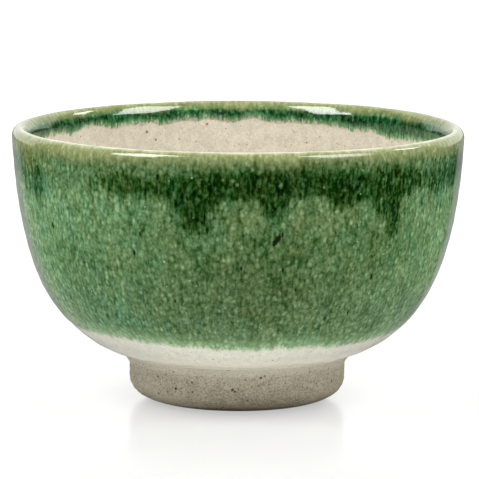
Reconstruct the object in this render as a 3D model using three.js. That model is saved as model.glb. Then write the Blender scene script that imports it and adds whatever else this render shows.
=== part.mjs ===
// Matcha tea bowl: a thrown stoneware bowl on a luted foot ring, under a cream glaze, with a
// copper-green glaze over the outside and the lip. Millimetres, +Z up, origin at the centre of
// the circle that the foot stands on.
//
// Every piece is a body of revolution. One meridian of the finished surface is drawn from the
// foot, up the outside, over the lip and down to the centre of the floor. The two glaze coats
// and the clay are that meridian sunk by the depth of the coats, so each piece meets the next
// one face to face.

import * as THREE from 'three';

// Driving dimensions.
const RIM_DIAMETER = 120;
const HEIGHT = 73;
const FOOT_DIAMETER = 57;
const FOOT_TOP = 12.3; // height of the crease between the wall and the foot ring
const FLOOR_TOP = 14; // height of the floor inside, at its centre
const UNDERSIDE = 9.1; // height of the clay underside, at its centre

// Lip: a rounded outer corner, a crown, and a long soft slope down to the inner wall.
const LIP_OUTER_DROP = 2.7; // the wall ends this far below the rim
const LIP_OUTER_ROUND = 1.6; // reach of the handles that round the outer corner
const LIP_CROWN_ROUND = 1.4;
const CROWN_INSET = 2.5; // the crown stands this far inside the rim circle
const LIP_INNER_INSET = 4.9;
const LIP_INNER_DROP = 4;
const LIP_SLOPE_TOP = 0.8; // reach of the handles that shape the inner slope
const LIP_SLOPE_LOW = 1.6;
const INNER_LEAN = 0.03; // run over drop of the inner wall where it leaves the lip

// Walls: the handles that shape each curve, as shares of the rim radius and of the height.
const BELLY_REACH = 0.865;
const BELLY_RISE = 0.253;
const FLANK_REACH = 0.968;
const FLANK_RISE = 0.549;
const INNER_FLANK_RISE = 0.53;
const FLOOR_REACH = 0.81;
const CREASE_STEP = 0.5; // the wall leaves the foot this far outside its side, in millimetres

// Foot ring.
const CONTACT_INNER = 19.2; // flat band that the bowl stands on
const CONTACT_OUTER = 20.8;
const HEEL_TOP = 6.4; // the side is straight above this height
const HEEL_BULGE = 1.5; // height at which the heel would turn, were it a corner
const SIDE_FLARE = 0.1; // the side leans out this much below and above the top of the heel
const RECESS_EDGE_INSET = 0.8; // inner edge of the contact band, rounded off by one facet
const RECESS_EDGE_RISE = 1.2;

// Glaze.
const CREAM_DEPTH = 0.5;
const CREAM_DEPTH_LIP = 0.3;
const CREAM_DEPTH_EDGE = 0.2;
const CREAM_EDGE = 10; // the cream glaze stops here, on the side of the foot ring
const GREEN_DEPTH = 0.5;
const GREEN_DEPTH_LIP = 0.25;
const GREEN_DEPTH_EDGE = 0.15;
const GREEN_EDGE_OUTSIDE = 20.3;
const GREEN_EDGE_INSIDE = 67.2;
const GREEN_TAPER = 6; // height over which the green glaze gains its full depth
const THINNING_HEIGHT = 66.3; // both coats thin from here up to the crown

// Facets.
const AROUND = 64;
const STEPS = {
  lowerWall: 3, upperWall: 8, outerLip: 3, innerLip: 4, innerBand: 1, inside: 8, underside: 8, heel: 4,
};
const RING_STEPS = 3; // steps of the underside that the foot ring covers
const HALVINGS = 40; // of the interval in which a curve's parameter is searched

// Key points of the meridian, as radius and height.
const RIM_RADIUS = RIM_DIAMETER / 2;
const FOOT_RADIUS = FOOT_DIAMETER / 2;
const SHOULDER_HEIGHT = HEIGHT - LIP_OUTER_DROP;
const CROWN_RADIUS = RIM_RADIUS - CROWN_INSET;
const LIP_INNER_RADIUS = RIM_RADIUS - LIP_INNER_INSET;
const LIP_INNER_HEIGHT = HEIGHT - LIP_INNER_DROP;
const INNER_HANDLE_HEIGHT = HEIGHT * INNER_FLANK_RISE;
const CREASE = new THREE.Vector2(FOOT_RADIUS + CREASE_STEP, FOOT_TOP);

function cubic(...points) {
  const corners = points.map(([radius, height]) => new THREE.Vector2(radius, height));
  return new THREE.CubicBezierCurve(...corners);
}

const OUTER_WALL = cubic(
  CREASE.toArray(),
  [RIM_RADIUS * BELLY_REACH, HEIGHT * BELLY_RISE],
  [RIM_RADIUS * FLANK_REACH, HEIGHT * FLANK_RISE],
  [RIM_RADIUS, SHOULDER_HEIGHT],
);
const OUTER_LIP = cubic(
  [RIM_RADIUS, SHOULDER_HEIGHT],
  [RIM_RADIUS, SHOULDER_HEIGHT + LIP_OUTER_ROUND],
  [CROWN_RADIUS + LIP_CROWN_ROUND, HEIGHT],
  [CROWN_RADIUS, HEIGHT],
);
const INNER_LIP = cubic(
  [CROWN_RADIUS, HEIGHT],
  [CROWN_RADIUS - LIP_SLOPE_TOP, HEIGHT],
  [LIP_INNER_RADIUS + INNER_LEAN * LIP_SLOPE_LOW, LIP_INNER_HEIGHT + LIP_SLOPE_LOW],
  [LIP_INNER_RADIUS, LIP_INNER_HEIGHT],
);
const INNER_WALL = cubic(
  [LIP_INNER_RADIUS, LIP_INNER_HEIGHT],
  [LIP_INNER_RADIUS - INNER_LEAN * (LIP_INNER_HEIGHT - INNER_HANDLE_HEIGHT), INNER_HANDLE_HEIGHT],
  [RIM_RADIUS * FLOOR_REACH, FLOOR_TOP],
  [0, FLOOR_TOP],
);

// Parameter at which a curve that only rises or only falls passes a height.
function parameterAt(curve, height) {
  const rising = curve.v3.y > curve.v0.y;
  let low = 0;
  let high = 1;
  for (let i = 0; i < HALVINGS; i += 1) {
    const middle = (low + high) / 2;
    const short = (curve.getPoint(middle).y < height) === rising;
    low = short ? middle : low;
    high = short ? high : middle;
  }
  return (low + high) / 2;
}

// Stations along a stretch of one curve: a surface point and the direction into the clay.
function stations(curve, from, to, steps) {
  return Array.from({ length: steps + 1 }, (_, i) => {
    const t = THREE.MathUtils.lerp(from, to, i / steps);
    const point = curve.getPoint(t);
    const tangent = curve.getTangent(t);
    return { point, inward: new THREE.Vector2(-tangent.y, tangent.x) };
  });
}

// Depth of a coat that is full on the walls and thins towards the crown of the lip.
function thinnedAtLip(height, full, atLip) {
  const rise = THREE.MathUtils.smoothstep(height, THINNING_HEIGHT, HEIGHT);
  return THREE.MathUtils.lerp(full, atLip, rise);
}

function greenDepth(height) {
  const gain = THREE.MathUtils.smoothstep(height, GREEN_EDGE_OUTSIDE, GREEN_EDGE_OUTSIDE + GREEN_TAPER);
  const full = THREE.MathUtils.lerp(GREEN_DEPTH_EDGE, GREEN_DEPTH, gain);
  return thinnedAtLip(height, full, GREEN_DEPTH_LIP);
}

// A station's point, that far into the clay.
function sunk(station, depth) {
  return station.point.clone().addScaledVector(station.inward, depth);
}

// The whole meridian, from the crease up, over and in, with the stretch that the green covers.
const greenStart = parameterAt(OUTER_WALL, GREEN_EDGE_OUTSIDE);
const greenEnd = parameterAt(INNER_WALL, GREEN_EDGE_INSIDE);
const lowerWall = stations(OUTER_WALL, 0, greenStart, STEPS.lowerWall);
const covered = [
  ...stations(OUTER_WALL, greenStart, 1, STEPS.upperWall),
  ...stations(OUTER_LIP, 0, 1, STEPS.outerLip).slice(1),
  ...stations(INNER_LIP, 0, 1, STEPS.innerLip).slice(1),
  ...stations(INNER_WALL, 0, greenEnd, STEPS.innerBand).slice(1),
];
const inside = stations(INNER_WALL, greenEnd, 1, STEPS.inside);

const greenFace = covered.map((station) => station.point);
const greenBed = covered.map((station) => sunk(station, greenDepth(station.point.y)));
const creamFace = [
  ...lowerWall.slice(0, -1).map((station) => station.point),
  ...greenBed,
  ...inside.slice(1).map((station) => station.point),
];
const creamBed = [
  ...lowerWall.slice(0, -1).map((station) => sunk(station, CREAM_DEPTH)),
  ...covered.map((station) => {
    const height = station.point.y;
    return sunk(station, greenDepth(height) + thinnedAtLip(height, CREAM_DEPTH, CREAM_DEPTH_LIP));
  }),
  ...inside.slice(1).map((station) => sunk(station, CREAM_DEPTH)),
];

// Underside of the thrown bowl: it carries on from the wall and levels out at the centre.
const joint = creamBed[0];
const undersideCurve = new THREE.QuadraticBezierCurve(
  joint,
  new THREE.Vector2(joint.x / 2, UNDERSIDE),
  new THREE.Vector2(0, UNDERSIDE),
);
const underside = undersideCurve.getPoints(STEPS.underside);

// Side of the foot ring: the rounded heel, and the point where the cream glaze stops.
const heel = new THREE.QuadraticBezierCurve(
  new THREE.Vector2(CONTACT_OUTER, 0),
  new THREE.Vector2(FOOT_RADIUS - SIDE_FLARE, HEEL_BULGE),
  new THREE.Vector2(FOOT_RADIUS, HEEL_TOP),
).getPoints(STEPS.heel);
const glazeLine = new THREE.Vector2(FOOT_RADIUS + SIDE_FLARE, CREAM_EDGE);

// A closed section, or one that starts and ends on the axis, turned about +Z.
function turned(section) {
  const geometry = new THREE.LatheGeometry(section, AROUND);
  geometry.rotateX(Math.PI / 2);
  return geometry;
}

function closed(section) {
  return [...section, section[0].clone()];
}

function reversed(points) {
  return [...points].reverse();
}

function clayBowl() {
  return turned([...reversed(underside), ...creamBed.slice(1)]);
}

function footRing() {
  return turned(closed([
    ...heel,
    glazeLine,
    ...underside.slice(0, RING_STEPS + 1),
    new THREE.Vector2(CONTACT_INNER - RECESS_EDGE_INSET, RECESS_EDGE_RISE),
    new THREE.Vector2(CONTACT_INNER, 0),
  ]));
}

function creamGlaze() {
  const hem = glazeLine.clone();
  hem.x += CREAM_DEPTH_EDGE;
  return turned([...reversed(creamBed), glazeLine, hem, ...creamFace]);
}

function greenGlaze() {
  return turned(closed([...reversed(greenBed), ...greenFace]));
}

// Materials.
function bareStoneware() {
  return new THREE.MeshStandardMaterial({ color: 0x968e80, roughness: 0.85, metalness: 0 });
}

function creamGlass() {
  return new THREE.MeshStandardMaterial({ color: 0xdfd4be, roughness: 0.22, metalness: 0 });
}

function greenGlass() {
  return new THREE.MeshStandardMaterial({ color: 0x5c7048, roughness: 0.2, metalness: 0 });
}

function piece(name, geometry, material) {
  const mesh = new THREE.Mesh(geometry, material);
  mesh.name = name;
  return mesh;
}

const bowl = new THREE.Group();
bowl.add(
  piece('clay_bowl', clayBowl(), bareStoneware()),
  piece('foot_ring', footRing(), bareStoneware()),
  piece('cream_glaze', creamGlaze(), creamGlass()),
  piece('green_glaze', greenGlaze(), greenGlass()),
);

export default bowl;
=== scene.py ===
"""Matcha bowl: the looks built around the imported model. Blender 4.5, metres, +Z up.

The bowl is a body of revolution. Lengths along its meridian are in millimetres from the crown of
the lip: positive down the outside, negative down the inside. Angles go round +Z from the front
(-Y), positive towards +X.
"""

import math

import bmesh
import bpy
import numpy as np
from mathutils import Matrix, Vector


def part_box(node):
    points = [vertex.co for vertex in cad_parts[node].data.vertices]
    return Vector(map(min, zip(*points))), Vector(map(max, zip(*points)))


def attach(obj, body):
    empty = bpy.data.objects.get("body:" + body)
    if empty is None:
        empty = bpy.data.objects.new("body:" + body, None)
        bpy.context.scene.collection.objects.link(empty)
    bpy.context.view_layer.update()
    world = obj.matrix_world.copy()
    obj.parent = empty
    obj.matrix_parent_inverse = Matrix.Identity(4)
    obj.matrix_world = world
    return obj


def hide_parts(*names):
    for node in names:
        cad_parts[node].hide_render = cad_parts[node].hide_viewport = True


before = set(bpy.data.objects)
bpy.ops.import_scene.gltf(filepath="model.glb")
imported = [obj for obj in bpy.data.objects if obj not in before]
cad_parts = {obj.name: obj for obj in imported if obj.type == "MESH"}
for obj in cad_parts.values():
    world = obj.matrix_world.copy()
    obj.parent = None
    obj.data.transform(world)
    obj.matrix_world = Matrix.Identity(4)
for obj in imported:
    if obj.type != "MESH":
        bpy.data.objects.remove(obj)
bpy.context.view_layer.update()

MM = 0.001
TURN = 2 * math.pi


def corners(node):
    """Lowest and highest corner of a CAD node, in millimetres."""
    low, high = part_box(node)
    return np.array(low) / MM, np.array(high) / MM


# Sizes taken from the frame, in millimetres.
GREEN_LOW, GREEN_HIGH = corners("green_glaze")
CREAM_LOW, _ = corners("cream_glaze")
_, FOOT_HIGH = corners("foot_ring")
CLAY_LOW, _ = corners("clay_bowl")
RIM_RADIUS = GREEN_HIGH[0]
HEIGHT = GREEN_HIGH[2]
GREEN_EDGE = GREEN_LOW[2]
CREAM_EDGE = CREAM_LOW[2]
FOOT_TOP = FOOT_HIGH[2] - 0.48  # the joint under the glaze stands this far above the crease
FOOT_RADIUS = FOOT_HIGH[0] - 0.37  # and this far outside the straight side of the foot ring
UNDERSIDE = CLAY_LOW[2]
FLOOR_TOP = 0.192 * HEIGHT

# Lip: a rounded outer corner, a crown, and a long soft slope down to the inner wall.
LIP_OUTER_DROP = 2.7
LIP_OUTER_ROUND = 1.6
LIP_CROWN_ROUND = 1.4
CROWN_INSET = 2.5
LIP_INNER_INSET = 4.9
LIP_INNER_DROP = 4.0
LIP_SLOPE_TOP = 0.8
LIP_SLOPE_LOW = 1.6
INNER_LEAN = 0.03

# Walls: the handles that shape each curve, as shares of the rim radius and of the height.
BELLY_REACH = 0.865
BELLY_RISE = 0.253
FLANK_REACH = 0.968
FLANK_RISE = 0.549
INNER_FLANK_RISE = 0.53
FLOOR_REACH = 0.81
CREASE_STEP = 0.5

# Foot ring.
CONTACT_INNER = 19.2
CONTACT_OUTER = 20.8
RECESS_RADIUS = 17.8
RECESS_EDGE_RISE = 1.2
HEEL_TOP = 6.4
HEEL_BULGE = 1.5
FOOT_MIDDLE = (23.5, 5.0)  # radius and height of the middle of the ring's section

# Glaze, in millimetres.
CREAM_DEPTH = 0.5
GREEN_DEPTH = 0.5
GREEN_DEPTH_LIP = 0.25
GREEN_FADE = 6.0
EDGE_DEPTH = 0.02
INNER_FEATHER = 3.1  # the green fades out that many times faster inside than at the hem
TONGUE_REACH = 2.0  # the cream glaze's tongue leaves the wall that far above the crease
LOW_WALL_TOP = 25.0  # height below which the rows of the cream glaze lie closer
FLOW_RADIUS = 55.0  # radius of the cylinder on which the texture outside is drawn

# Marks of the throwing, in millimetres.
OVALITY = 0.10  # the rim is that much out of round
WALL_PITCH = 5.2
FOOT_PITCH = 1.7
UNDERSIDE_PITCH = 3.1

# Mesh density.
AROUND = 480


# --- small functions ---

def smoothstep(low, high, value):
    t = np.clip((value - low) / (high - low), 0, 1)
    return t * t * (3 - 2 * t)


def lerp(a, b, t):
    return a + (b - a) * t


def cubic(points, count=400):
    """Points of a cubic Bezier curve in the (radius, height) plane."""
    p = np.array(points, float)
    t = np.linspace(0, 1, count)[:, None]
    return (1 - t) ** 3 * p[0] + 3 * (1 - t) ** 2 * t * p[1] + 3 * (1 - t) * t ** 2 * p[2] + t ** 3 * p[3]


def wander(theta, seed, lowest, highest, size):
    """A smooth random curve round the bowl, of about that size, from whole-numbered waves."""
    rng = np.random.default_rng(seed)
    waves = np.unique(np.geomspace(lowest, highest, 40).astype(int))
    total = np.zeros_like(theta, float)
    for wave in waves:
        total += rng.normal() * np.cos(wave * theta + rng.uniform(0, TURN)) * (lowest / wave) ** 0.35
    return size * total / max(total.std(), 1e-9)


def ripple(theta, along, wavelength, seed, count=40):
    """A smooth random field on the surface with that wavelength in millimetres, of unit size."""
    rng = np.random.default_rng(seed)
    total = np.zeros(np.broadcast(theta, along).shape)
    for _ in range(count):
        heading = rng.uniform(0, TURN)
        wave = TURN / (wavelength * rng.uniform(0.75, 1.5))
        turns = round(wave * math.cos(heading) * FLOW_RADIUS)
        total += np.cos(turns * theta + wave * math.sin(heading) * along + rng.uniform(0, TURN))
    return total * math.sqrt(2 / count)


# --- the meridian of the finished surface ---

class Meridian:
    """The finished surface's outline, looked up by length from the crown of the lip."""

    def __init__(self):
        shoulder = (RIM_RADIUS, HEIGHT - LIP_OUTER_DROP)
        crown = (RIM_RADIUS - CROWN_INSET, HEIGHT)
        inner = (RIM_RADIUS - LIP_INNER_INSET, HEIGHT - LIP_INNER_DROP)
        crease = (FOOT_RADIUS + CREASE_STEP, FOOT_TOP)
        knee = INNER_FLANK_RISE * HEIGHT
        inner_flank = (inner[0] - INNER_LEAN * (inner[1] - knee), knee)
        floor_handle = (FLOOR_REACH * RIM_RADIUS, FLOOR_TOP)
        floor = cubic([(0, FLOOR_TOP), floor_handle, inner_flank, inner], 1500)
        slope = (inner[0] + INNER_LEAN * LIP_SLOPE_LOW, inner[1] + LIP_SLOPE_LOW)
        inner_lip = cubic([inner, slope, (crown[0] - LIP_SLOPE_TOP, HEIGHT), crown])
        corner = (RIM_RADIUS, shoulder[1] + LIP_OUTER_ROUND)
        outer_lip = cubic([crown, (crown[0] + LIP_CROWN_ROUND, HEIGHT), corner, shoulder])
        flank = (FLANK_REACH * RIM_RADIUS, FLANK_RISE * HEIGHT)
        belly = (BELLY_REACH * RIM_RADIUS, BELLY_RISE * HEIGHT)
        wall = cubic([shoulder, flank, belly, crease], 1500)
        line = np.vstack([floor, inner_lip[1:], outer_lip[1:], wall[1:]])
        length = np.concatenate([[0], np.cumsum(np.hypot(*np.diff(line, axis=0).T))])
        at_crown = length[len(floor) + len(inner_lip) - 2]
        self.s = np.arange(0, length[-1], 0.05)
        radius = self.eased(np.interp(self.s, length, line[:, 0]))
        height = self.eased(np.interp(self.s, length, line[:, 1]))
        self.s = self.s - at_crown
        self.points = np.stack([radius, height], -1)
        along = np.gradient(self.points, axis=0)
        along /= np.hypot(along[:, 0], along[:, 1])[:, None]
        self.normals = np.stack([-along[:, 1], along[:, 0]], -1)
        self.first = self.s[0]
        self.last = self.s[-1]

    @staticmethod
    def eased(values, width=7):
        """Rounds the joins between the curves, without moving the two ends."""
        kernel = np.hanning(2 * width + 1)
        kernel /= kernel.sum()
        padded = np.concatenate([
            2 * values[0] - values[width:0:-1], values, 2 * values[-1] - values[-2:-width - 2:-1],
        ])
        return np.convolve(padded, kernel, mode="valid")

    def point(self, s):
        return np.stack([np.interp(s, self.s, self.points[:, i]) for i in (0, 1)], -1)

    def normal(self, s):
        n = np.stack([np.interp(s, self.s, self.normals[:, i]) for i in (0, 1)], -1)
        return n / np.linalg.norm(n, axis=-1, keepdims=True)

    def height(self, s):
        return np.interp(s, self.s, self.points[:, 1])

    def outside(self, height):
        """Length down the outside at which the surface passes that height."""
        part = self.s >= 0
        return np.interp(-np.asarray(height), -self.points[part, 1], self.s[part])

    def inside(self, height):
        """Length down the inside (negative) at which the surface passes that height."""
        part = self.s <= 0
        return np.interp(height, self.points[part, 1], self.s[part])


MERIDIAN = Meridian()
THETA = np.arange(AROUND) * TURN / AROUND


# --- where the glazes lie ---

# The green glaze's lower edge leans: its rise on average, and its drops in front and on the right.
HEM_RISE = 0.80
HEM_DROP_FRONT = 1.74
HEM_DROP_RIGHT = 0.61

# The pooled glaze fades over these heights below and above an edge, and starts below the crown.
BAND_FADE = (3.1, 2.3)
RUN_FADE = (2.2, 4.5)
BAND_START = 0.5

# The dark band of pooled glaze below the lip: angle in degrees, height of its lower edge, strength.
BAND = [
    (-78, 61.5, 0.60),
    (-68, 59.0, 0.62),
    (-61, 57.5, 0.66),
    (-56, 60.0, 0.34),
    (-48, 61.5, 0.16),
    (-39, 61.5, 0.30),
    (-33, 61.5, 0.64),
    (-27, 61.0, 0.88),
    (-20, 61.8, 0.74),
    (-15, 58.8, 0.80),
    (-8, 58.5, 1.00),
    (-3, 61.5, 0.95),
    (4, 61.5, 0.97),
    (10, 59.5, 1.00),
    (14, 61.8, 0.92),
    (19, 62.6, 0.92),
    (23, 61.0, 0.97),
    (27, 59.0, 1.00),
    (32, 60.2, 0.96),
    (37, 60.0, 0.97),
    (43, 58.0, 1.00),
    (47, 61.2, 0.82),
    (54, 61.5, 0.62),
    (62, 59.5, 0.52),
    (70, 60.5, 0.70),
    (78, 61.0, 0.66),
]

# Stretches where the band starts lower: angle, half width in degrees, by how many millimetres.
BAND_TOP = [
    (-64, 9, 1.6),
    (-27, 12, 2.1),
    (36, 8, 0.8),
    (61, 10, 1.6),
]

# Runs that reach below the band: angle in degrees, height of the tip, half width in degrees, strength.
RUNS = [
    (-61.5, 55.0, 2.4, 0.70),
    (-13.2, 57.0, 2.4, 0.85),
    (-11.6, 51.3, 2.5, 1.00),
    (-8.6, 52.6, 1.6, 0.60),
    (9.5, 54.9, 3.0, 1.00),
    (27.0, 57.4, 2.8, 0.88),
    (39.3, 54.2, 2.6, 0.92),
    (43.4, 48.4, 2.4, 1.00),
    (61.0, 57.0, 2.2, 0.35),
]

# Broad patches of the green: angle, height, half widths (degrees, mm), change of tone (positive is paler),
# change of hue (negative to teal, positive to olive). Those far out on the left and right that only turn
# paler, with no change of hue, are painted light on the sides.
PATCHES = [
    (-45, 53, 14, 8, 0.050, -0.2),
    (-66, 48, 9, 14, 0.070, -0.2),
    (-45, 30, 16, 8, 0.015, -0.3),
    (8, 38, 24, 12, -0.050, 0.35),
    (24, 56, 12, 5, 0.035, 0.35),
    (2, 55, 5, 4, 0.010, 0.3),
    (-6, 53, 3, 4, -0.020, -0.1),
    (45, 45, 4, 7, -0.015, 0.0),
    (58, 40, 12, 15, 0.035, -0.1),
    (-34, 26, 6, 3, -0.030, -0.2),
    (-10, 28, 12, 4, -0.010, 0.0),
    (-62, 60, 6, 4, 0.030, -0.5),
    (-67, 67, 6, 3, 0.000, 0.7),
    (66, 63, 8, 5, 0.010, -0.5),
    (68, 42, 6, 13, 0.070, 0.0),
    (69, 52, 5, 16, 0.050, 0.0),
    (-69, 45, 13, 25, 0.065, 0.0),
    (-54, 59, 5, 5, 0.050, 0.0),
    (-31, 57, 5, 6, 0.045, 0.0),
    (-15, 64.5, 4, 2.5, 0.060, 0.0),
    (15, 64, 3, 2.5, 0.040, 0.0),
    (57, 54, 8, 4, 0.050, 0.0),
    (-76, 63, 5, 5, 0.090, 0.0),
    (71, 36, 5, 9, 0.050, 0.0),
    (-64, 28, 8, 6, 0.050, 0.0),
    (9, 48, 4, 4, -0.040, 0.0),
    (-67, 24, 11, 5, 0.065, 0.0),
    (63, 25, 11, 5, 0.050, 0.0),
    (-73, 64, 6, 4, 0.055, 0.0),
    (0, 23, 90, 4, 0.030, 0.0),
]

# The green's edge inside the lip: angle in degrees, height.
INNER_EDGE = [
    (-75, 66.8),
    (0, 67.0),
    (75, 66.6),
    (104, 66.0),
    (115, 65.5),
    (123, 65.0),
    (131, 65.1),
    (139, 65.9),
    (147, 66.5),
    (158, 67.2),
    (168, 67.5),
    (180, 67.9),
    (191, 67.8),
    (205, 67.2),
    (216, 67.0),
    (222, 67.6),
    (229, 67.2),
    (238, 66.9),
    (250, 66.7),
]


def unseen_band(seed=11):
    """The band round the back, of the same kind."""
    rng = np.random.default_rng(seed)
    angles = np.arange(86, 275, 6.0)
    return [(angle, rng.uniform(58.5, 64), rng.uniform(0.5, 1.0)) for angle in angles]


def unseen_runs(seed=12):
    rng = np.random.default_rng(seed)
    angles = rng.uniform(84, 276, 9)
    return [(angle, rng.uniform(49, 58), rng.uniform(1.6, 2.6), rng.uniform(0.5, 1.0)) for angle in angles]


def turned_off(theta, angle):
    """Degrees from that angle, the short way round."""
    return (np.degrees(theta) - angle + 180) % 360 - 180


def green_hem(theta):
    """Height of the green glaze's lower edge: it leans a little, and is ragged."""
    lowered = HEM_DROP_FRONT * np.cos(theta) + HEM_DROP_RIGHT * np.sin(theta)
    leaning = GREEN_EDGE + HEM_RISE - lowered
    return leaning + wander(theta, 3, 3, 12, 0.2) + wander(theta, 4, 25, 130, 0.16)


def green_band(theta):
    """Height of the green glaze's edge inside the lip."""
    angles, heights = np.array(INNER_EDGE).T
    edge = np.interp(np.degrees(theta) % 360, angles % 360, heights, period=360)
    return edge + wander(theta, 6, 20, 110, 0.32)


def cream_hem(theta):
    """Height of the cream glaze's lower edge, on the side of the foot."""
    return CREAM_EDGE + 0.25 + wander(theta, 7, 2, 8, 0.15) + wander(theta, 8, 20, 90, 0.08)


def pooled(theta, s):
    """How deeply the green glaze has pooled, 0 to 1: the band below the lip and its runs."""
    height = MERIDIAN.height(s)
    angles, edges, strengths = np.array(BAND + unseen_band()).T
    degrees = np.degrees(theta) % 360
    edge = np.interp(degrees, angles % 360, edges, period=360) + wander(theta, 9, 30, 140, 0.5)
    strength = np.interp(degrees, angles % 360, strengths, period=360)
    clear = 1 - strength * smoothstep(edge - BAND_FADE[0], edge + BAND_FADE[1], height)
    for angle, tip, half_width, strength in RUNS + unseen_runs():
        across = np.exp(-np.abs(turned_off(theta, angle) / half_width) ** 2.2)
        reached = smoothstep(tip - RUN_FADE[0], tip + RUN_FADE[1], height)
        clear = clear * (1 - strength * across * reached)
    lowered = BAND_START
    for angle, half_width, drop in BAND_TOP:
        lowered = lowered + drop * np.exp(-(turned_off(theta, angle) / half_width) ** 2)
    top = smoothstep(1.5, 9.5, s - lowered + wander(theta, 10, 6, 60, 0.4))
    inside = smoothstep(2.3, 3.4, -s) * (1 - 0.55 * smoothstep(4.3, 7.5, -s))
    inside = inside * (0.92 + 0.08 * ripple(theta, s, 6, 13))
    return np.where(s >= 0, (1 - clear) * top, inside)


def patches(theta, s):
    """Slow changes of tone and of hue over the green glaze, some of them painted light on the sides."""
    height = MERIDIAN.height(s)
    tone = -0.020 * np.exp(-(turned_off(theta, 5) / 35) ** 2)
    hue = 0 * height
    for angle, middle, across, down, darker, warmer in PATCHES:
        near = np.exp(-(turned_off(theta, angle) / across) ** 2 - ((height - middle) / down) ** 2)
        tone = tone + darker * near
        hue = hue + warmer * near
    return tone, hue


def lip_tone(theta, s):
    """How much of the thin, olive glaze of the lip shows, 0 to 1."""
    reach = wander(theta, 14, 8, 90, 0.25)
    drawn = 0.8 * np.exp(-(turned_off(theta, 14) / 42) ** 4) - 1.2 * (1 - np.cos(theta))
    outside = 1 - smoothstep(0.5, 8.0, s + reach + drawn)
    inside = 1 - smoothstep(0.6, 4.2, -s + reach)
    return np.where(s >= 0, outside, inside)


def crown_wear_and_highlight(theta, s):
    """How far the cream glaze shows through on the crown of the lip, 0 to 1: worn glaze all round, and in
    front, where the share is larger, also a painted highlight.
    """
    # Painted highlight: the larger share in front stands for the pale line of light along the front crown.
    share = lerp(0.05, 0.75, smoothstep(-0.3, 0.6, np.cos(theta)))
    return share * np.exp(-((s - 0.1 + wander(theta, 15, 10, 90, 0.15)) / 0.75) ** 2)


def dryness(theta, s):
    """A stretch of the lip that is less glossy, 0 to 1."""
    return np.exp(-(turned_off(theta, 29) / 9) ** 4) * smoothstep(-1, 0.5, s) * (1 - smoothstep(4, 6, s))


def green_depth(s):
    """Depth of the green glaze away from its edges."""
    height = MERIDIAN.height(s)
    full = lerp(0.15, GREEN_DEPTH, smoothstep(GREEN_EDGE, GREEN_EDGE + GREEN_FADE, height))
    thinned = lerp(full, GREEN_DEPTH_LIP, smoothstep(HEIGHT - 6.7, HEIGHT, height))
    below = smoothstep(GREEN_EDGE - 5, GREEN_EDGE, height)
    inside = thinned * smoothstep(HEIGHT - 10, HEIGHT - 1.5, height)
    return np.where(s >= 0, thinned * below, inside)


def relief(theta, s):
    """Hand-made unevenness of the fired surface, in millimetres."""
    height = MERIDIAN.height(s)
    round_error = OVALITY * np.cos(2 * theta + 0.7) * smoothstep(12, 70, height)
    swell = 0.035 * ripple(theta, s, 22, 20) + 0.012 * ripple(theta, s, 6, 21)
    throwing = 0.02 * np.sin(TURN * s / WALL_PITCH + theta)
    near_axis = smoothstep(0, 8, MERIDIAN.point(s)[..., 0])
    return -0.03 + (round_error + swell + throwing) * near_axis


# --- meshes ---

def in_scene(thing):
    bpy.context.scene.collection.objects.link(thing)


def ring_points(theta, radius_height):
    """Points, in metres, of a grid given by radius and height at each angle."""
    radius, height = radius_height[..., 0], radius_height[..., 1]
    return MM * np.stack([radius * np.sin(theta), -radius * np.cos(theta), height + 0 * theta], -1)


def on_surface(theta, s, lift):
    """Points a little off the finished surface, along its normal."""
    return ring_points(theta, MERIDIAN.point(s) + MERIDIAN.normal(s) * (lift + relief(theta, s))[..., None])


def sunk(theta, s):
    """Points of the cream glaze's face, which the green glaze lies on."""
    return on_surface(theta, s, -green_depth(s))


def closed_skin(name, rows, values, start_pole=False, end_pole=False):
    """A closed mesh from rows of points round the axis. Without poles the last row meets the first."""
    mesh = bpy.data.meshes.new(name)
    count, around = rows.shape[:2]
    vertices = rows.reshape(-1, 3)
    faces = []
    j = np.arange(around)
    following = (j + 1) % around
    last = count if not (start_pole or end_pole) else count - 1
    for i in range(last):
        below, above = i * around, ((i + 1) % count) * around
        if start_pole and i == 0:
            faces += [(0, above + b, above + a) for a, b in zip(j, following)]
        elif end_pole and i == count - 2:
            faces += [(below + a, below + b, above) for a, b in zip(j, following)]
        else:
            faces += list(zip(below + j, below + following, above + following, above + j))
    mesh.from_pydata(vertices.tolist(), [], [tuple(int(v) for v in face) for face in faces])
    for label, value in values.items():
        kind = "FLOAT_VECTOR" if value.ndim == 3 else "FLOAT"
        field = "vector" if value.ndim == 3 else "value"
        attribute = mesh.attributes.new(label, kind, "POINT")
        attribute.data.foreach_set(field, value.astype(np.float32).ravel())
    edit = bmesh.new()
    edit.from_mesh(mesh)
    loose = [v for v in edit.verts if not v.link_faces]
    bmesh.ops.delete(edit, geom=loose, context="VERTS")
    bmesh.ops.recalc_face_normals(edit, faces=edit.faces)
    edit.to_mesh(mesh)
    edit.free()
    mesh.shade_smooth()
    mesh.set_sharp_from_angle(angle=math.radians(50))
    piece = bpy.data.objects.new(name, mesh)
    in_scene(piece)
    return piece


def flow_of(theta, s):
    """Coordinates of the glaze's texture: round the bowl, drawn in towards the axis inside, and down."""
    narrowing = np.minimum(MERIDIAN.point(s)[..., 0] / FLOW_RADIUS, 1.0)
    reach = FLOW_RADIUS * np.where(np.asarray(s) < 0, narrowing, 1.0)
    return np.stack(np.broadcast_arrays(reach * np.sin(theta), -reach * np.cos(theta), s), -1)


def grid(*stretches):
    """Rows of meridian lengths: each stretch is (from, to, rows), from and to given at each angle."""
    rows = []
    for start, end, count in stretches:
        start, end = np.broadcast_to(start, AROUND), np.broadcast_to(end, AROUND)
        rows += [lerp(start, end, t) for t in np.linspace(0, 1, count, endpoint=False)]
    return np.array(rows)


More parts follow.
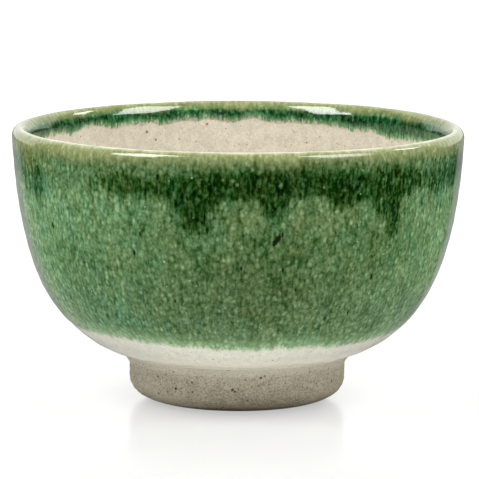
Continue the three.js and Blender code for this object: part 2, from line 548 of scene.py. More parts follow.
def green_glaze():
    """The green coat: its face from the hem up and over the lip, and the bed that it lies on."""
    hem = MERIDIAN.outside(green_hem(THETA))
    band = MERIDIAN.inside(green_band(THETA))
    s = grid((hem, hem - 2, 6), (hem - 2, 9, 72), (9, 0, 20), (0, band + 0.8, 12), (band + 0.8, band, 3))
    s = np.vstack([s, band[None]])
    theta = np.broadcast_to(THETA, s.shape)
    from_hem = np.minimum(hem - s, INNER_FEATHER * (s - band))
    pool = np.clip(pooled(theta, s), 0, 1)
    depth = lerp(EDGE_DEPTH, green_depth(s) + 0.02 * pool, smoothstep(0, 2.5, from_hem))
    tone, hue = patches(theta, s)
    face = on_surface(theta, s, depth - green_depth(s))
    bed_s = s[::-4]
    bed = sunk(np.broadcast_to(THETA, bed_s.shape), bed_s)
    bed = bed[1:]
    rows = np.concatenate([face, bed])

    def whole(value, filler=0.0):
        return np.concatenate([value, np.full((len(bed),) + value.shape[1:], filler)])

    return closed_skin("green_glaze_coat", rows, {
        "flow": whole(flow_of(theta, s)),
        "pool": whole(pool),
        "lip": whole(lip_tone(theta, s)),
        "hem": whole(from_hem),
        "tone": whole(tone),
        "hue": whole(hue),
        "dry": whole(dryness(theta, s)),
        "crown": whole(crown_wear_and_highlight(theta, s)),
    })


def cream_glaze():
    """The cream coat: its bed, the tongue down the side of the foot ring, and its face."""
    start = cream_hem(THETA)
    side = FOOT_RADIUS + 0.1
    tongue_heights = np.linspace(0, 1, 10)[:, None]
    joint = MERIDIAN.last - TONGUE_REACH
    joint_point = MERIDIAN.point(np.array(joint))
    corner = np.array([side + 0.28, FOOT_TOP - 0.25])
    low = np.stack([np.full(AROUND, side + EDGE_DEPTH), start], -1)
    t = tongue_heights[..., None]
    tongue = (1 - t) ** 2 * low[None] + 2 * (1 - t) * t * corner + t ** 2 * joint_point
    tongue[..., 0] += relief(THETA, np.full(AROUND, joint)) * t[..., 0] ** 2
    tongue_s = joint + (1 - tongue_heights) * 4.0 + 0 * THETA
    low_wall = MERIDIAN.outside(LOW_WALL_TOP)
    s = grid((joint - 0.3, low_wall, 22), (low_wall, 3, 26), (3, -3, 14), (-3, -14, 20),
             (-14, MERIDIAN.first + 0.3, 70))
    s = np.vstack([s, np.full((1, AROUND), MERIDIAN.first)])
    theta = np.broadcast_to(THETA, s.shape)
    face = sunk(theta, s)
    bed_s = grid((MERIDIAN.first, joint, 40))
    bed_s = np.vstack([bed_s, np.full((1, AROUND), joint)])
    bed_theta = np.broadcast_to(THETA, bed_s.shape)
    bed = on_surface(bed_theta, bed_s, -green_depth(bed_s) - CREAM_DEPTH)
    back = ring_points(THETA, np.stack([np.full(AROUND, side - 0.05), start + 0.1], -1))[None]
    rows = np.concatenate([bed, back, ring_points(THETA, tongue), face])
    rows[0] = rows[0, :1]
    rows[-1] = rows[-1, :1]
    hidden = len(bed) + 1
    tongue_theta = np.broadcast_to(THETA, tongue_s.shape)
    unseen = np.zeros((hidden, AROUND, 3))
    flow = np.concatenate([unseen, flow_of(tongue_theta, tongue_s), flow_of(theta, s)])
    up_tongue = np.linalg.norm(tongue - low[None], axis=-1)
    from_hem = np.concatenate([np.zeros((hidden, AROUND)), up_tongue, up_tongue[-1] + joint - s])
    values = {"flow": flow, "hem": from_hem, "place": rows / MM}
    return closed_skin("cream_glaze_coat", rows, values, start_pole=True, end_pole=True)


def foot_outline():
    """Closed outline of the foot ring, from the inner edge of its contact band, anticlockwise."""
    band_end = np.array([CONTACT_OUTER, 0])
    band_start = np.array([CONTACT_INNER, 0])
    t = np.linspace(0, 1, 40)[:, None]
    bulge = np.array([FOOT_RADIUS - 0.1, HEEL_BULGE])
    heel = (1 - t) ** 2 * band_end + 2 * (1 - t) * t * bulge + t ** 2 * np.array([FOOT_RADIUS, HEEL_TOP])
    side_radius = np.linspace(FOOT_RADIUS, FOOT_RADIUS + 0.12, 16)
    side = np.stack([side_radius, np.linspace(HEEL_TOP, FOOT_TOP - 0.3, 16)], -1)
    top = underside(np.linspace(FOOT_RADIUS + 0.1, RECESS_RADIUS, 10))
    inner_radius = np.linspace(RECESS_RADIUS, CONTACT_INNER - 0.8, 16)
    inner = np.stack([inner_radius, np.linspace(top[-1, 1], RECESS_EDGE_RISE, 16)], -1)
    u = t[::5]
    rounded = np.array([CONTACT_INNER - 0.6, 0.1])
    lip = (1 - u) ** 2 * inner[-1] + 2 * (1 - u) * u * rounded + u ** 2 * band_start
    band = np.stack([np.linspace(CONTACT_INNER, CONTACT_OUTER, 4), np.zeros(4)], -1)
    return np.vstack([band[:-1], heel, side[1:], top[1:], inner[1:], lip[1:-1]])


def underside(radius):
    """Outline of the clay underside: it carries on from the wall and levels out at the centre."""
    joint_radius = FOOT_HIGH[0]
    joint_height = FOOT_HIGH[2]
    return np.stack([radius, UNDERSIDE + (joint_height - UNDERSIDE) * (radius / joint_radius) ** 2], -1)


def foot_ring():
    outline = foot_outline()
    theta = np.broadcast_to(THETA, (len(outline), AROUND))
    height = outline[:, 1][:, None]
    radius = outline[:, 0][:, None]
    along = np.concatenate([[0], np.cumsum(np.hypot(*np.diff(outline, axis=0).T))])[:, None]
    turned = smoothstep(0.6, 3, height) * (1 - smoothstep(10.5, 12, height))
    grooves = 0.05 * np.sin(TURN * along / FOOT_PITCH + theta) + 0.05 * ripple(theta, along, 9, 31)
    grain = 0.02 * ripple(theta, along, 1.6, 32, 60)
    away = outline - np.array(FOOT_MIDDLE)
    away /= np.linalg.norm(away, axis=1)[:, None]
    lift = (grooves + grain) * turned - 0.05
    points = outline[:, None] + away[:, None] * lift[..., None]
    points[..., 1] = np.maximum(points[..., 1], 0)
    rows = ring_points(theta, points)
    across, back = radius * np.sin(theta), -radius * np.cos(theta)
    flow = np.stack(np.broadcast_arrays(across, back, height + 0 * theta), -1)
    return closed_skin("foot_ring_clay", rows, {"flow": flow})


def clay_bowl():
    joint = MERIDIAN.last - 0.2
    under = underside(np.linspace(0, FOOT_HIGH[0], 60))
    theta = np.broadcast_to(THETA, (len(under), AROUND))
    radius = under[:, 0][:, None]
    spiral = 0.09 * np.sin(TURN * radius / UNDERSIDE_PITCH + theta) * smoothstep(1.5, 5, radius)
    spiral += 0.04 * ripple(theta, radius, 7, 41) * smoothstep(1, 4, radius)
    spiral *= 1 - smoothstep(17, 18, radius)
    points = under[:, None] + np.stack([0 * spiral, spiral], -1)
    lower = ring_points(theta, points)
    s = grid((joint, MERIDIAN.first + 0.3, 60))
    s = np.vstack([s, np.full((1, AROUND), MERIDIAN.first)])
    bed_theta = np.broadcast_to(THETA, s.shape)
    upper = on_surface(bed_theta, s, -green_depth(s) - CREAM_DEPTH - 0.01)
    rows = np.concatenate([lower, upper])
    rows[0] = rows[0, :1]
    rows[-1] = rows[-1, :1]
    return closed_skin("thrown_clay_bowl", rows, {"flow": rows / MM}, start_pole=True, end_pole=True)


# --- shader helpers ---

def linear(red, green, blue):
    """A colour given as 0 to 255 on the screen, as scene-linear RGBA."""
    def one(value):
        value /= 255
        return value / 12.92 if value <= 0.04045 else ((value + 0.055) / 1.055) ** 2.4
    return one(red), one(green), one(blue), 1.0


class Shader:
    """Short calls for the nodes of a material or of the world."""

    def __init__(self, owner):
        owner.use_nodes = True
        self.owner = owner
        self.tree = owner.node_tree

    def surface(self, name, value):
        """Sets an input of the material's surface."""
        self.put(self.tree.nodes["Principled BSDF"].inputs[name], value)

    def put(self, socket, value):
        if isinstance(value, bpy.types.NodeSocket):
            self.tree.links.new(value, socket)
        else:
            socket.default_value = value

    def node(self, kind, inputs, output=0, **settings):
        made = self.tree.nodes.new(kind)
        for key, value in settings.items():
            setattr(made, key, value)
        for key, value in inputs.items():
            self.put(made.inputs[key], value)
        return made.outputs[output]

    def attribute(self, name, output):
        return self.node("ShaderNodeAttribute", {}, output, attribute_name=name)

    def math(self, operation, a, b=0.0, clamp=False):
        return self.node("ShaderNodeMath", {0: a, 1: b}, operation=operation, use_clamp=clamp)

    def add(self, *terms):
        total = terms[0]
        for term in terms[1:]:
            total = self.math("ADD", total, term)
        return total

    def times(self, a, b):
        return self.math("MULTIPLY", a, b)

    def step(self, low, high, value, start=0.0, end=1.0):
        inputs = {"Value": value, "From Min": low, "From Max": high, "To Min": start, "To Max": end}
        return self.node("ShaderNodeMapRange", inputs, interpolation_type="SMOOTHSTEP")

    def blend(self, factor, a, b):
        """Mix of two numbers."""
        return self.node("ShaderNodeMix", {0: factor, 2: a, 3: b}, 0, data_type="FLOAT")

    def mix(self, factor, a, b):
        """Mix of two colours."""
        return self.node("ShaderNodeMix", {0: factor, 6: a, 7: b}, 2, data_type="RGBA")

    def scaled(self, vector, across, along):
        """The flow coordinates with cells that many millimetres wide and long."""
        factors = (1 / across, 1 / across, 1 / along)
        return self.node("ShaderNodeVectorMath", {0: vector, 1: factors}, operation="MULTIPLY")

    def shifted(self, vector, offset):
        return self.node("ShaderNodeVectorMath", {0: vector, 1: offset}, operation="ADD")

    def noise(self, vector, detail=2.0, roughness=0.5):
        inputs = {"Vector": vector, "Scale": 1.0, "Detail": detail, "Roughness": roughness}
        return self.node("ShaderNodeTexNoise", inputs)

    def signal(self, vector, detail=2.0):
        """Noise about zero, of unit size."""
        return self.times(self.math("SUBTRACT", self.noise(vector, detail), 0.5), 8.0)

    def cells(self, vector, randomness=1.0):
        """Distance to the nearest of a set of random points, and that point's random number."""
        inputs = {"Vector": vector, "Scale": 1.0, "Randomness": randomness}
        distance = self.node("ShaderNodeTexVoronoi", inputs)
        colour = distance.node.outputs["Color"]
        chance = self.node("ShaderNodeSeparateColor", {0: colour})
        return distance, chance

    def spots(self, vector, radius, soft, share):
        """Round spots in a share of the cells, 0 to 1."""
        distance, chance = self.cells(vector)
        chosen = self.math("LESS_THAN", chance, share)
        size = self.blend(chance.node.outputs[1], radius * 0.55, radius * 1.25)
        near = self.math("SUBTRACT", size, distance)
        return self.times(self.step(0.0, soft, near), chosen)

    def flecks(self, vector):
        """Cells with a pale middle and a dark border, about zero, some of them stronger."""
        distance, chance = self.cells(vector)
        middle = self.math("SUBTRACT", self.step(0.75, 0.10, distance), 0.42)
        return self.times(middle, self.blend(chance, 0.2, 2.2))

    def ramp(self, factor, stops):
        made = self.tree.nodes.new("ShaderNodeValToRGB")
        elements = made.color_ramp.elements
        while len(elements) < len(stops):
            elements.new(0.5)
        for element, (place, colour) in zip(elements, stops):
            element.position = place
            element.color = linear(*colour)
        self.put(made.inputs[0], factor)
        return made.outputs[0]

    def bump(self, height, distance, strength=1.0):
        inputs = {"Height": height, "Distance": distance, "Strength": strength}
        return self.node("ShaderNodeBump", inputs)


# --- materials ---

# Colours are given as 0 to 255 on the screen. Each ramp runs from a dark tone to a pale one.
GREEN_TONES = [
    (0.03, (1, 14, 0)),
    (0.14, (10, 44, 4)),
    (0.24, (36, 70, 28)),
    (0.37, (76, 102, 65)),
    (0.455, (94, 125, 84)),
    (0.58, (128, 156, 112)),
    (0.70, (166, 184, 138)),
    (0.84, (208, 214, 182)),
]
TEAL_TONES = [
    (0.03, (0, 12, 4)),
    (0.14, (2, 42, 20)),
    (0.24, (20, 72, 46)),
    (0.37, (56, 108, 82)),
    (0.50, (90, 142, 112)),
    (0.70, (150, 188, 156)),
    (0.84, (202, 218, 196)),
]
WARM_TONES = [
    (0.03, (10, 14, 0)),
    (0.14, (26, 42, 2)),
    (0.24, (54, 68, 24)),
    (0.37, (92, 102, 60)),
    (0.50, (124, 134, 92)),
    (0.70, (176, 182, 138)),
    (0.84, (212, 214, 182)),
]
INNER_TONES = [
    (0.03, (2, 32, 12)),
    (0.14, (14, 60, 30)),
    (0.24, (38, 96, 54)),
    (0.37, (70, 124, 78)),
    (0.50, (118, 156, 112)),
    (0.70, (174, 198, 154)),
]
OLIVE_TONES = [
    (0.20, (70, 78, 34)),
    (0.45, (118, 126, 84)),
    (0.60, (151, 158, 114)),
    (0.72, (178, 183, 141)),
    (0.85, (210, 212, 177)),
]
CREAM_DARK = (184, 182, 168)
CREAM_LIGHT = (207, 205, 192)
INSIDE_DARK = (186, 178, 161)
INSIDE_LIGHT = (213, 206, 189)
SPECK_FAINT = (150, 128, 92)
SPECK_RUST = (156, 118, 74)
SPECK_BROWN = (124, 92, 52)
# Painted light: the whitened cream just above the crease.
CREAM_PAINTED_LIGHT = (244, 240, 228)
CLAY_WASHED = (192, 186, 171)
CLAY_PIT = (98, 88, 68)
CLAY_SPECK = (70, 58, 40)
FOOT_SPECK = (34, 26, 16)
IRON = (13, 20, 2)
CROWN_PALE = (212, 208, 182)
CRYSTAL_CLOUDED = (168, 194, 150)
# Painted highlight: glints on bubbles in the glaze.
BUBBLE_GLINT = (196, 214, 180)
HEM_DARK = (120, 152, 104)
HEM_LIGHT = (156, 184, 144)
HEM_INSIDE = (132, 168, 124)
# Bare clay low down and higher up: a shaded and a lit copy, the difference being painted shade.
CLAY_SHADED_DARK = (108, 100, 82)
CLAY_SHADED_LIGHT = (148, 140, 120)
CLAY_LIT_DARK = (142, 134, 114)
CLAY_LIT_LIGHT = (184, 176, 156)

# Iron spots in the green glaze: angle in degrees, height, radius in millimetres.
IRON_SPOTS = [
    (-56.0, 50.6, 0.42),
    (-27.7, 46.0, 0.40),
    (9.4, 49.6, 0.46),
    (9.9, 50.4, 0.56),
    (10.3, 50.8, 0.46),
    (10.7, 51.2, 0.42),
    (11.4, 51.8, 0.34),
    (39.0, 39.0, 0.40),
    (-7.6, 53.0, 0.42),
    (-20.0, 66.4, 0.42),
    (26.5, 28.5, 0.38),
    (1.0, 43.0, 0.30),
    (34.0, 29.5, 0.32),
    (12.0, 42.5, 0.30),
    (-25.5, 51.2, 0.30),
    (-17.5, 33.7, 0.30),
    (16.0, 37.0, 0.28),
]

# Dark specks on the side of the foot ring: angle, height, radius.
FOOT_SPECKS = [
    (14.7, 10.7, 0.50),
    (12.7, 10.1, 0.40),
    (-2.3, 7.0, 0.42),
    (-1.0, 6.5, 0.30),
    (10.6, 4.4, 0.42),
    (-34.2, 6.4, 0.42),
    (-19.0, 11.4, 0.36),
    (61.6, 7.0, 0.36),
    (-47.0, 9.0, 0.30),
]


def unseen_spots(seed=17):
    rng = np.random.default_rng(seed)
    return [(rng.uniform(80, 280), rng.uniform(26, 66), rng.uniform(0.3, 0.5)) for _ in range(14)]


def cream_colour(shader, flow):
    """The cream glaze's colour: a faint mottle, and fine brown specks."""
    mottle = shader.noise(shader.scaled(flow, 2.4, 2.4), 4.0, 0.6)
    fine = shader.noise(shader.scaled(flow, 0.5, 0.5), 2.0)
    tone = shader.add(shader.times(mottle, 0.7), shader.times(fine, 0.8))
    pale = shader.step(0.45, 1.05, tone)
    outside = shader.mix(pale, linear(*CREAM_DARK), linear(*CREAM_LIGHT))
    inside = shader.mix(pale, linear(*INSIDE_DARK), linear(*INSIDE_LIGHT))
    inner = shader.step(-2.0, -6.0, shader.node("ShaderNodeSeparateXYZ", {0: flow}, 2))
    base = shader.mix(inner, outside, inside)
    small = shader.spots(shader.scaled(flow, 1.8, 1.8), 0.22, 0.10, 0.6)
    large = shader.spots(shader.shifted(shader.scaled(flow, 4.4, 4.4), (3.1, 1.7, 5.3)), 0.12, 0.05, 0.80)
    faint = shader.mix(shader.times(small, 0.5), base, linear(*SPECK_FAINT))
    rust = shader.spots(shader.shifted(shader.scaled(flow, 3.0, 3.0), (7.3, 2.9, 1.4)), 0.13, 0.06, 0.50)
    rusty = shader.mix(shader.math("MULTIPLY", rust, inner), faint, linear(*SPECK_RUST))
    return shader.mix(shader.times(large, 0.85), rusty, linear(*SPECK_BROWN))


def cream_material():
    shader = Shader(bpy.data.materials.new("cream_glaze"))
    flow = shader.attribute("flow", 1)
    hem = shader.attribute("hem", 2)
    colour = cream_colour(shader, flow)
    worn = shader.noise(shader.scaled(flow, 1.2, 1.2), 3.0)
    edge = shader.step(-0.5, 3.2, shader.add(hem, shader.times(worn, 2.0), -1.0))
    # Painted light: just above the crease the cream is whitened, more on the sides, where shade falls.
    crease = shader.math("MULTIPLY", shader.step(3.0, 7.0, hem), shader.step(14.0, 8.0, hem))
    sideways = shader.math("ABSOLUTE", shader.node("ShaderNodeSeparateXYZ", {0: flow}, 0))
    painted_light_strength = shader.blend(shader.step(18.0, 46.0, sideways), 0.22, 0.60)
    colour = shader.mix(shader.math("MULTIPLY", crease, painted_light_strength), colour, linear(*CREAM_PAINTED_LIGHT))
    clay = clay_colour(shader, shader.attribute("place", 1))
    shader.surface("Base Color", shader.mix(edge, clay, colour))
    shader.surface("Roughness", shader.blend(edge, 0.7, 0.16))
    skin = shader.noise(shader.scaled(flow, 1.6, 1.6), 2.0)
    shader.surface("Normal", shader.bump(skin, 0.00004, 0.6))
    return shader.owner


def clay_colour(shader, flow):
    """Bare stoneware: grey beige, with a grain, pits and dark specks. Painted shade makes it darker low
    down, and painted light lifts the low left, leaving the low right darkest.
    """
    split = shader.node("ShaderNodeSeparateXYZ", {0: flow}).node.outputs
    # Painted shade: the clay is darker low down and lighter higher up.
    painted_light_by_height = shader.step(0.5, 11.5, split["Z"])
    broad = shader.noise(shader.scaled(flow, 4.0, 2.5), 3.0)
    grain = shader.signal(shader.scaled(flow, 0.5, 0.45), 3.0)
    tone = shader.add(shader.times(broad, 0.5), 0.25, shader.times(grain, 0.19))
    # Painted light: the clay low on the left is made lighter.
    left = shader.math("MULTIPLY", shader.step(-3.0, -20.0, split["X"]), shader.step(8.0, 1.0, split["Z"]))
    rough = shader.step(0.15, 0.85, shader.add(tone, shader.times(left, 0.30)))
    low = shader.mix(rough, linear(*CLAY_SHADED_DARK), linear(*CLAY_SHADED_LIGHT))
    high = shader.mix(rough, linear(*CLAY_LIT_DARK), linear(*CLAY_LIT_LIGHT))
    base = shader.mix(painted_light_by_height, low, high)
    washed = shader.step(8.2, 11.6, split["Z"])
    base = shader.mix(shader.times(washed, 0.4), base, linear(*CLAY_WASHED))
    pits = shader.spots(shader.scaled(flow, 0.9, 0.9), 0.34, 0.14, 0.8)
    specks = shader.spots(shader.shifted(shader.scaled(flow, 2.1, 2.1), (2.2, 7.1, 0.4)), 0.17, 0.06, 0.85)
    pitted = shader.mix(shader.times(pits, 0.55), base, linear(*CLAY_PIT))
    dotted = shader.mix(shader.times(specks, 0.75), pitted, linear(*CLAY_SPECK))
    places = [(foot_place(angle, height), radius) for angle, height, radius in FOOT_SPECKS]
    return shader.mix(shader.times(marks(shader, flow, places, grain), 0.9), dotted, linear(*FOOT_SPECK))


def foot_place(angle, height):
    """A point on the side of the foot ring, in millimetres."""
    turn = math.radians(angle)
    return FOOT_RADIUS * math.sin(turn), -FOOT_RADIUS * math.cos(turn), height


def clay_material():
    shader = Shader(bpy.data.materials.new("bare_stoneware"))
    flow = shader.attribute("flow", 1)
    shader.surface("Base Color", clay_colour(shader, flow))
    grain = shader.noise(shader.scaled(flow, 0.5, 0.5), 3.0, 0.6)
    pits = shader.spots(shader.scaled(flow, 0.9, 0.9), 0.24, 0.12, 0.42)
    shader.surface("Roughness", shader.step(0.2, 0.8, grain, 0.72, 0.9))
    surface = shader.add(grain, shader.times(pits, -1.5))
    shader.surface("Normal", shader.bump(surface, 0.00006, 0.8))
    return shader.owner


def marks(shader, vector, places, texture):
    """Small ragged marks at given places, each with its radius, 0 to 1."""
    nearest = 10.0
    for place, radius in places:
        distance = shader.node("ShaderNodeVectorMath", {0: vector, 1: place}, 1, operation="DISTANCE")
        nearest = shader.math("MINIMUM", nearest, shader.times(distance, 1 / radius))
    return shader.step(1.25, 0.55, shader.add(nearest, shader.times(texture, 0.08)))


def iron(shader, flow, texture):
    """Dark iron spots, drawn out a little down the wall, 0 to 1."""
    stretch = 2.4
    places = []
    for angle, height, radius in IRON_SPOTS + unseen_spots():
        turn = math.radians(angle)
        down = float(MERIDIAN.outside(height)) / stretch
        places.append(((FLOW_RADIUS * math.sin(turn), -FLOW_RADIUS * math.cos(turn), down), radius))
    return marks(shader, shader.scaled(flow, 1.0, stretch), places, texture)


def green_textures(shader, flow):
    """The green glaze's textures, each about zero: streaks down the wall, grain and clouds."""
    def texture(across, along):
        return shader.signal(shader.scaled(flow, across, along))

    return {
        "streak": texture(0.76, 2.4),
        "long_streak": texture(1.2, 6.5),
        "tails": texture(0.55, 9.0),
        "grain": texture(0.68, 0.85),
        "cloud": texture(7.0, 9.0),
    }


def pooled_dark(shader, texture):
    """Where the glaze has pooled, with edges drawn out into streaks, 0 to 1."""
    pool = shader.attribute("pool", 2)
    middle = shader.times(shader.times(pool, shader.math("SUBTRACT", 1.0, pool)), 4.0)
    drawn = shader.add(shader.times(texture["tails"], 0.13), shader.times(texture["streak"], 0.08))
    return shader.step(0.08, 0.90, shader.add(pool, shader.times(middle, drawn)))


def green_flecks(shader, flow, dark):
    """Pale flecks with darker gaps: short streaks above, rounder dots towards the foot."""
    low = shader.step(16.0, 36.0, shader.node("ShaderNodeSeparateXYZ", {0: flow}, 2))
    short = shader.flecks(shader.scaled(flow, 1.15, 2.3))
    dots = shader.flecks(shader.shifted(shader.scaled(flow, 1.45, 1.75), (5.2, 1.3, 8.8)))
    flecks = shader.add(
        shader.times(short, shader.blend(low, 0.080, 0.030)),
        shader.times(dots, shader.blend(low, 0.060, 0.085)),
    )
    return shader.times(flecks, shader.blend(dark, 1.0, 1.10))


def green_tone(shader, texture, dark, flecks):
    """How pale the green is, 0 to 1: dark where it has pooled, with grit and flecks."""
    grit = shader.add(
        shader.times(texture["streak"], 0.038), shader.times(texture["grain"], 0.044),
        shader.times(texture["long_streak"], 0.018), shader.times(texture["cloud"], 0.018),
    )
    gritty = shader.times(grit, shader.blend(dark, 1.0, 1.05))
    return shader.add(shader.blend(dark, 0.380, 0.172), shader.attribute("tone", 2), gritty, flecks)


def wall_colour(shader, flow, tone, inner):
    """The green of the wall, turned to teal or olive in places, and the clearer green inside."""
    wave = shader.signal(shader.scaled(flow, 4.0, 7.0))
    tint = shader.add(shader.attribute("hue", 2), shader.times(wave, 0.17))
    teal = shader.math("MULTIPLY", tint, -0.9, clamp=True)
    warm = shader.math("MULTIPLY", tint, 0.9, clamp=True)
    green = shader.ramp(tone, GREEN_TONES)
    green = shader.mix(teal, green, shader.ramp(tone, TEAL_TONES))
    green = shader.mix(warm, green, shader.ramp(tone, WARM_TONES))
    return shader.mix(inner, green, shader.ramp(tone, INNER_TONES))


def with_lip(shader, texture, flecks, colour):
    """Adds the thin, olive glaze of the lip, worn through to the cream on its crown, with a painted
    highlight on the front crown.
    """
    lip = shader.attribute("lip", 2)
    streak = texture["streak"]
    tone = shader.add(
        0.28, shader.times(lip, 0.23), shader.times(streak, 0.030), shader.times(texture["grain"], 0.030),
        shader.times(flecks, 0.6),
    )
    ragged = shader.add(lip, shader.times(streak, 0.06), shader.times(texture["long_streak"], 0.05))
    edge = shader.step(-0.10, 0.85, ragged)
    olive = shader.mix(edge, colour, shader.ramp(tone, OLIVE_TONES))
    return shader.mix(shader.attribute("crown", 2), olive, linear(*CROWN_PALE))


def with_crystals_and_glints(shader, flow, colour):
    """Adds pale crystals, soft cloudy ones, and small bright dots that are painted glints on bubbles."""
    clouded = shader.spots(shader.shifted(shader.scaled(flow, 1.8, 2.1), (9.1, 4.4, 2.0)), 0.27, 0.21, 0.55)
    soft = shader.mix(shader.times(clouded, 0.20), colour, linear(*CRYSTAL_CLOUDED))
    # Painted highlight: small glints on bubbles.
    bright = shader.spots(shader.shifted(shader.scaled(flow, 1.9, 1.9), (2.7, 8.2, 6.1)), 0.12, 0.06, 0.35)
    return shader.mix(shader.times(bright, 0.42), soft, linear(*BUBBLE_GLINT))


def with_hem(shader, flow, texture, flecks, inner, colour):
    """Thins the green at its hem: the cream glaze shows through first as pale green, then bare."""
    fray = shader.add(
        shader.times(texture["streak"], 0.45), shader.times(texture["grain"], 0.40),
        shader.times(texture["tails"], 0.25),
    )
    feather = shader.add(shader.attribute("hem", 2), shader.times(fray, shader.blend(inner, 1.0, 2.1)))
    thin = shader.step(6.8, 0.4, feather)
    flecked = shader.mix(shader.step(-0.06, 0.06, flecks), linear(*HEM_DARK), linear(*HEM_LIGHT))
    pale = shader.mix(inner, flecked, linear(*HEM_INSIDE))
    thinned = shader.mix(shader.times(thin, shader.blend(inner, 0.70, 0.78)), colour, pale)
    gone = shader.step(shader.blend(inner, 2.3, 3.4), -0.5, feather)
    return shader.mix(gone, thinned, cream_colour(shader, flow))


def green_material():
    shader = Shader(bpy.data.materials.new("green_glaze"))
    flow = shader.attribute("flow", 1)
    texture = green_textures(shader, flow)
    inner = shader.math("LESS_THAN", shader.node("ShaderNodeSeparateXYZ", {0: flow}, 2), 0.0)
    dark = pooled_dark(shader, texture)
    flecks = green_flecks(shader, flow, dark)
    tone = green_tone(shader, texture, dark, flecks)
    colour = wall_colour(shader, flow, tone, inner)
    colour = with_lip(shader, texture, flecks, colour)
    colour = with_crystals_and_glints(shader, flow, colour)
    spot = iron(shader, flow, texture["grain"])
    colour = shader.mix(shader.times(spot, 0.95), colour, linear(*IRON))
    colour = with_hem(shader, flow, texture, flecks, inner, colour)
    shader.surface("Base Color", colour)
    gloss = shader.step(-2.0, 2.0, texture["grain"], 0.06, 0.11)
    shader.surface("Roughness", shader.blend(shader.attribute("dry", 2), gloss, 0.24))
    skin = shader.noise(shader.scaled(flow, 1.5, 2.2), 2.0)
    shader.surface("Normal", shader.bump(skin, 0.00003, 0.6))
    return shader.owner


# --- studio ---

CAMERA_DISTANCE = 1.5
CAMERA_ELEVATION = math.radians(8.0)
CAMERA_ROLL = math.radians(0.275)
CAMERA_LENS = 425.0
CAMERA_SENSOR = 36.0
CAMERA_FAR = 50.0
AIM = (0.0005, 0.0, 0.584 * HEIGHT * MM)

LIGHT_DISTANCE = 1.5
LIGHT_AIM = 0.9 * HEIGHT * MM
BACKDROP_HALF = math.radians(52)  # half width of the white backdrop behind the bowl
BACKDROP = 1.1  # its brightness in the gloss
ROOM = 0.015  # brightness of the rest of the room in the gloss
FILL = 0.57  # brightness all round for matt surfaces
TABLE = 0.28  # paleness of the table, to the eye
TABLE_HALF = 6.0  # half the length of its side, in metres
TABLE_GLOW = (0.463, 0.69)  # brightness of its own that the eye sees, in front and behind


def camera():
    data = bpy.data.cameras.new("camera")
    data.sensor_width = CAMERA_SENSOR
    data.lens = CAMERA_LENS
    data.clip_end = CAMERA_FAR
    eye = bpy.data.objects.new("camera", data)
    back = CAMERA_DISTANCE * math.cos(CAMERA_ELEVATION)
    rise = CAMERA_DISTANCE * math.sin(CAMERA_ELEVATION)
    eye.location = (AIM[0], AIM[1] - back, AIM[2] + rise)
    level = Matrix.Rotation(math.pi / 2 - CAMERA_ELEVATION, 3, "X")
    eye.rotation_euler = (level @ Matrix.Rotation(CAMERA_ROLL, 3, "Z")).to_euler()
    in_scene(eye)
    bpy.context.scene.camera = eye


def softbox(name, azimuth, elevation, width, height, radiance):
    """A rectangular light aimed at the bowl. Azimuth is from the front, positive towards +X."""
    data = bpy.data.lights.new(name, "AREA")
    data.shape = "RECTANGLE"
    data.size = width
    data.size_y = height
    data.energy = 4 * radiance * width * height
    light = bpy.data.objects.new(name, data)
    turn, tilt = math.radians(azimuth), math.radians(elevation)
    level = LIGHT_DISTANCE * math.cos(tilt)
    rise = LIGHT_DISTANCE * math.sin(tilt)
    light.location = (level * math.sin(turn), -level * math.cos(turn), LIGHT_AIM + rise)
    light.rotation_euler = (math.pi / 2 - tilt, 0, turn)
    in_scene(light)


def surroundings():
    """White all round to the eye, an even fill for matt surfaces, and a white backdrop for gloss."""
    world = bpy.data.worlds.new("studio")
    shader = Shader(world)
    shader.tree.nodes.clear()
    path = shader.node("ShaderNodeLightPath", {}).node
    place = shader.node("ShaderNodeTexCoord", {}).node.outputs["Generated"]
    split = shader.node("ShaderNodeSeparateXYZ", {0: place}).node
    across = shader.math("ABSOLUTE", split.outputs["X"])
    slant = shader.math("ARCTAN2", across, split.outputs["Y"])
    behind = shader.step(BACKDROP_HALF + 0.02, BACKDROP_HALF - 0.02, slant, ROOM, BACKDROP)
    above = shader.step(-0.02, 0.0, split.outputs["Z"])
    glossy = shader.blend(above, ROOM, behind)
    seen = shader.blend(path.outputs["Is Glossy Ray"], FILL, glossy)
    seen = shader.blend(path.outputs["Is Camera Ray"], seen, 1.0)
    light = shader.node("ShaderNodeBackground", {"Color": (1, 1, 1, 1), "Strength": seen})
    output = shader.tree.nodes.new("ShaderNodeOutputWorld")
    shader.put(output.inputs["Surface"], light)
    bpy.context.scene.world = world


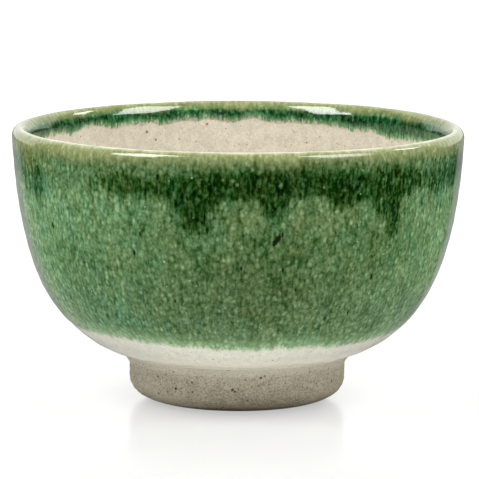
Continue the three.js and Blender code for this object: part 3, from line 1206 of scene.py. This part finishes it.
def floor():
    """A white table. In the gloss of the bowl it is bright behind and close by, and dark in front."""
    mesh = bpy.data.meshes.new("floor")
    square = [(TABLE_HALF * x, TABLE_HALF * y, 0) for x, y in ((-1, -1), (1, -1), (1, 1), (-1, 1))]
    mesh.from_pydata(square, [], [(0, 1, 2, 3)])
    table = bpy.data.objects.new("floor", mesh)
    in_scene(table)
    shader = Shader(bpy.data.materials.new("white_table"))
    path = shader.node("ShaderNodeLightPath", {}).node.outputs
    place = shader.node("ShaderNodeNewGeometry", {})
    split = shader.node("ShaderNodeSeparateXYZ", {0: place}).node.outputs
    slant = shader.add(split["Y"], shader.times(shader.math("ABSOLUTE", split["X"]), -1.5))
    on_right = shader.math("GREATER_THAN", split["X"], 0.0)
    behind = shader.blend(on_right, shader.step(-0.17, -0.075, slant), shader.step(-0.065, -0.03, slant))
    away = shader.node("ShaderNodeVectorMath", {0: place}, 1, operation="LENGTH")
    close = shader.step(0.14, 0.07, away, 0.0, 0.75)
    glossed = shader.add(shader.math("MAXIMUM", behind, close), 0.02)
    white = shader.blend(path["Is Diffuse Ray"], TABLE, 0.92)
    white = shader.blend(path["Is Glossy Ray"], white, shader.times(glossed, 0.27))
    shader.surface("Base Color", white)
    glow = shader.step(-0.2, 0.7, split["Y"], *TABLE_GLOW)
    glow = shader.times(glow, path["Is Camera Ray"])
    shader.surface("Emission Color", (1, 1, 1, 1))
    shader.surface("Emission Strength", glow)
    shader.surface("Roughness", 0.2)
    shader.surface("Specular IOR Level", shader.times(path["Is Camera Ray"], 0.08))
    mesh.materials.append(shader.owner)


def studio():
    bpy.context.scene.view_settings.view_transform = "Standard"
    camera()
    surroundings()
    floor()
    softbox("softbox_left", azimuth=-60.5, elevation=46.5, width=0.53, height=0.80, radiance=12.3)
    softbox("softbox_right", azimuth=66, elevation=46, width=0.67, height=0.78, radiance=9.1)
    softbox("strip_right", azimuth=118, elevation=39, width=0.22, height=0.3, radiance=9.0)


# --- assembly ---

def place(piece, node, slot, material):
    """Puts a piece in the place of its CAD node."""
    piece.data.materials.append(material)
    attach(piece, "root")
    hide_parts(node)


studio()
bare = clay_material()
place(clay_bowl(), "clay_bowl", "bare_stoneware", bare)
place(foot_ring(), "foot_ring", "bare_stoneware", bare)
place(cream_glaze(), "cream_glaze", "cream_glaze", cream_material())
place(green_glaze(), "green_glaze", "green_glaze", green_material())
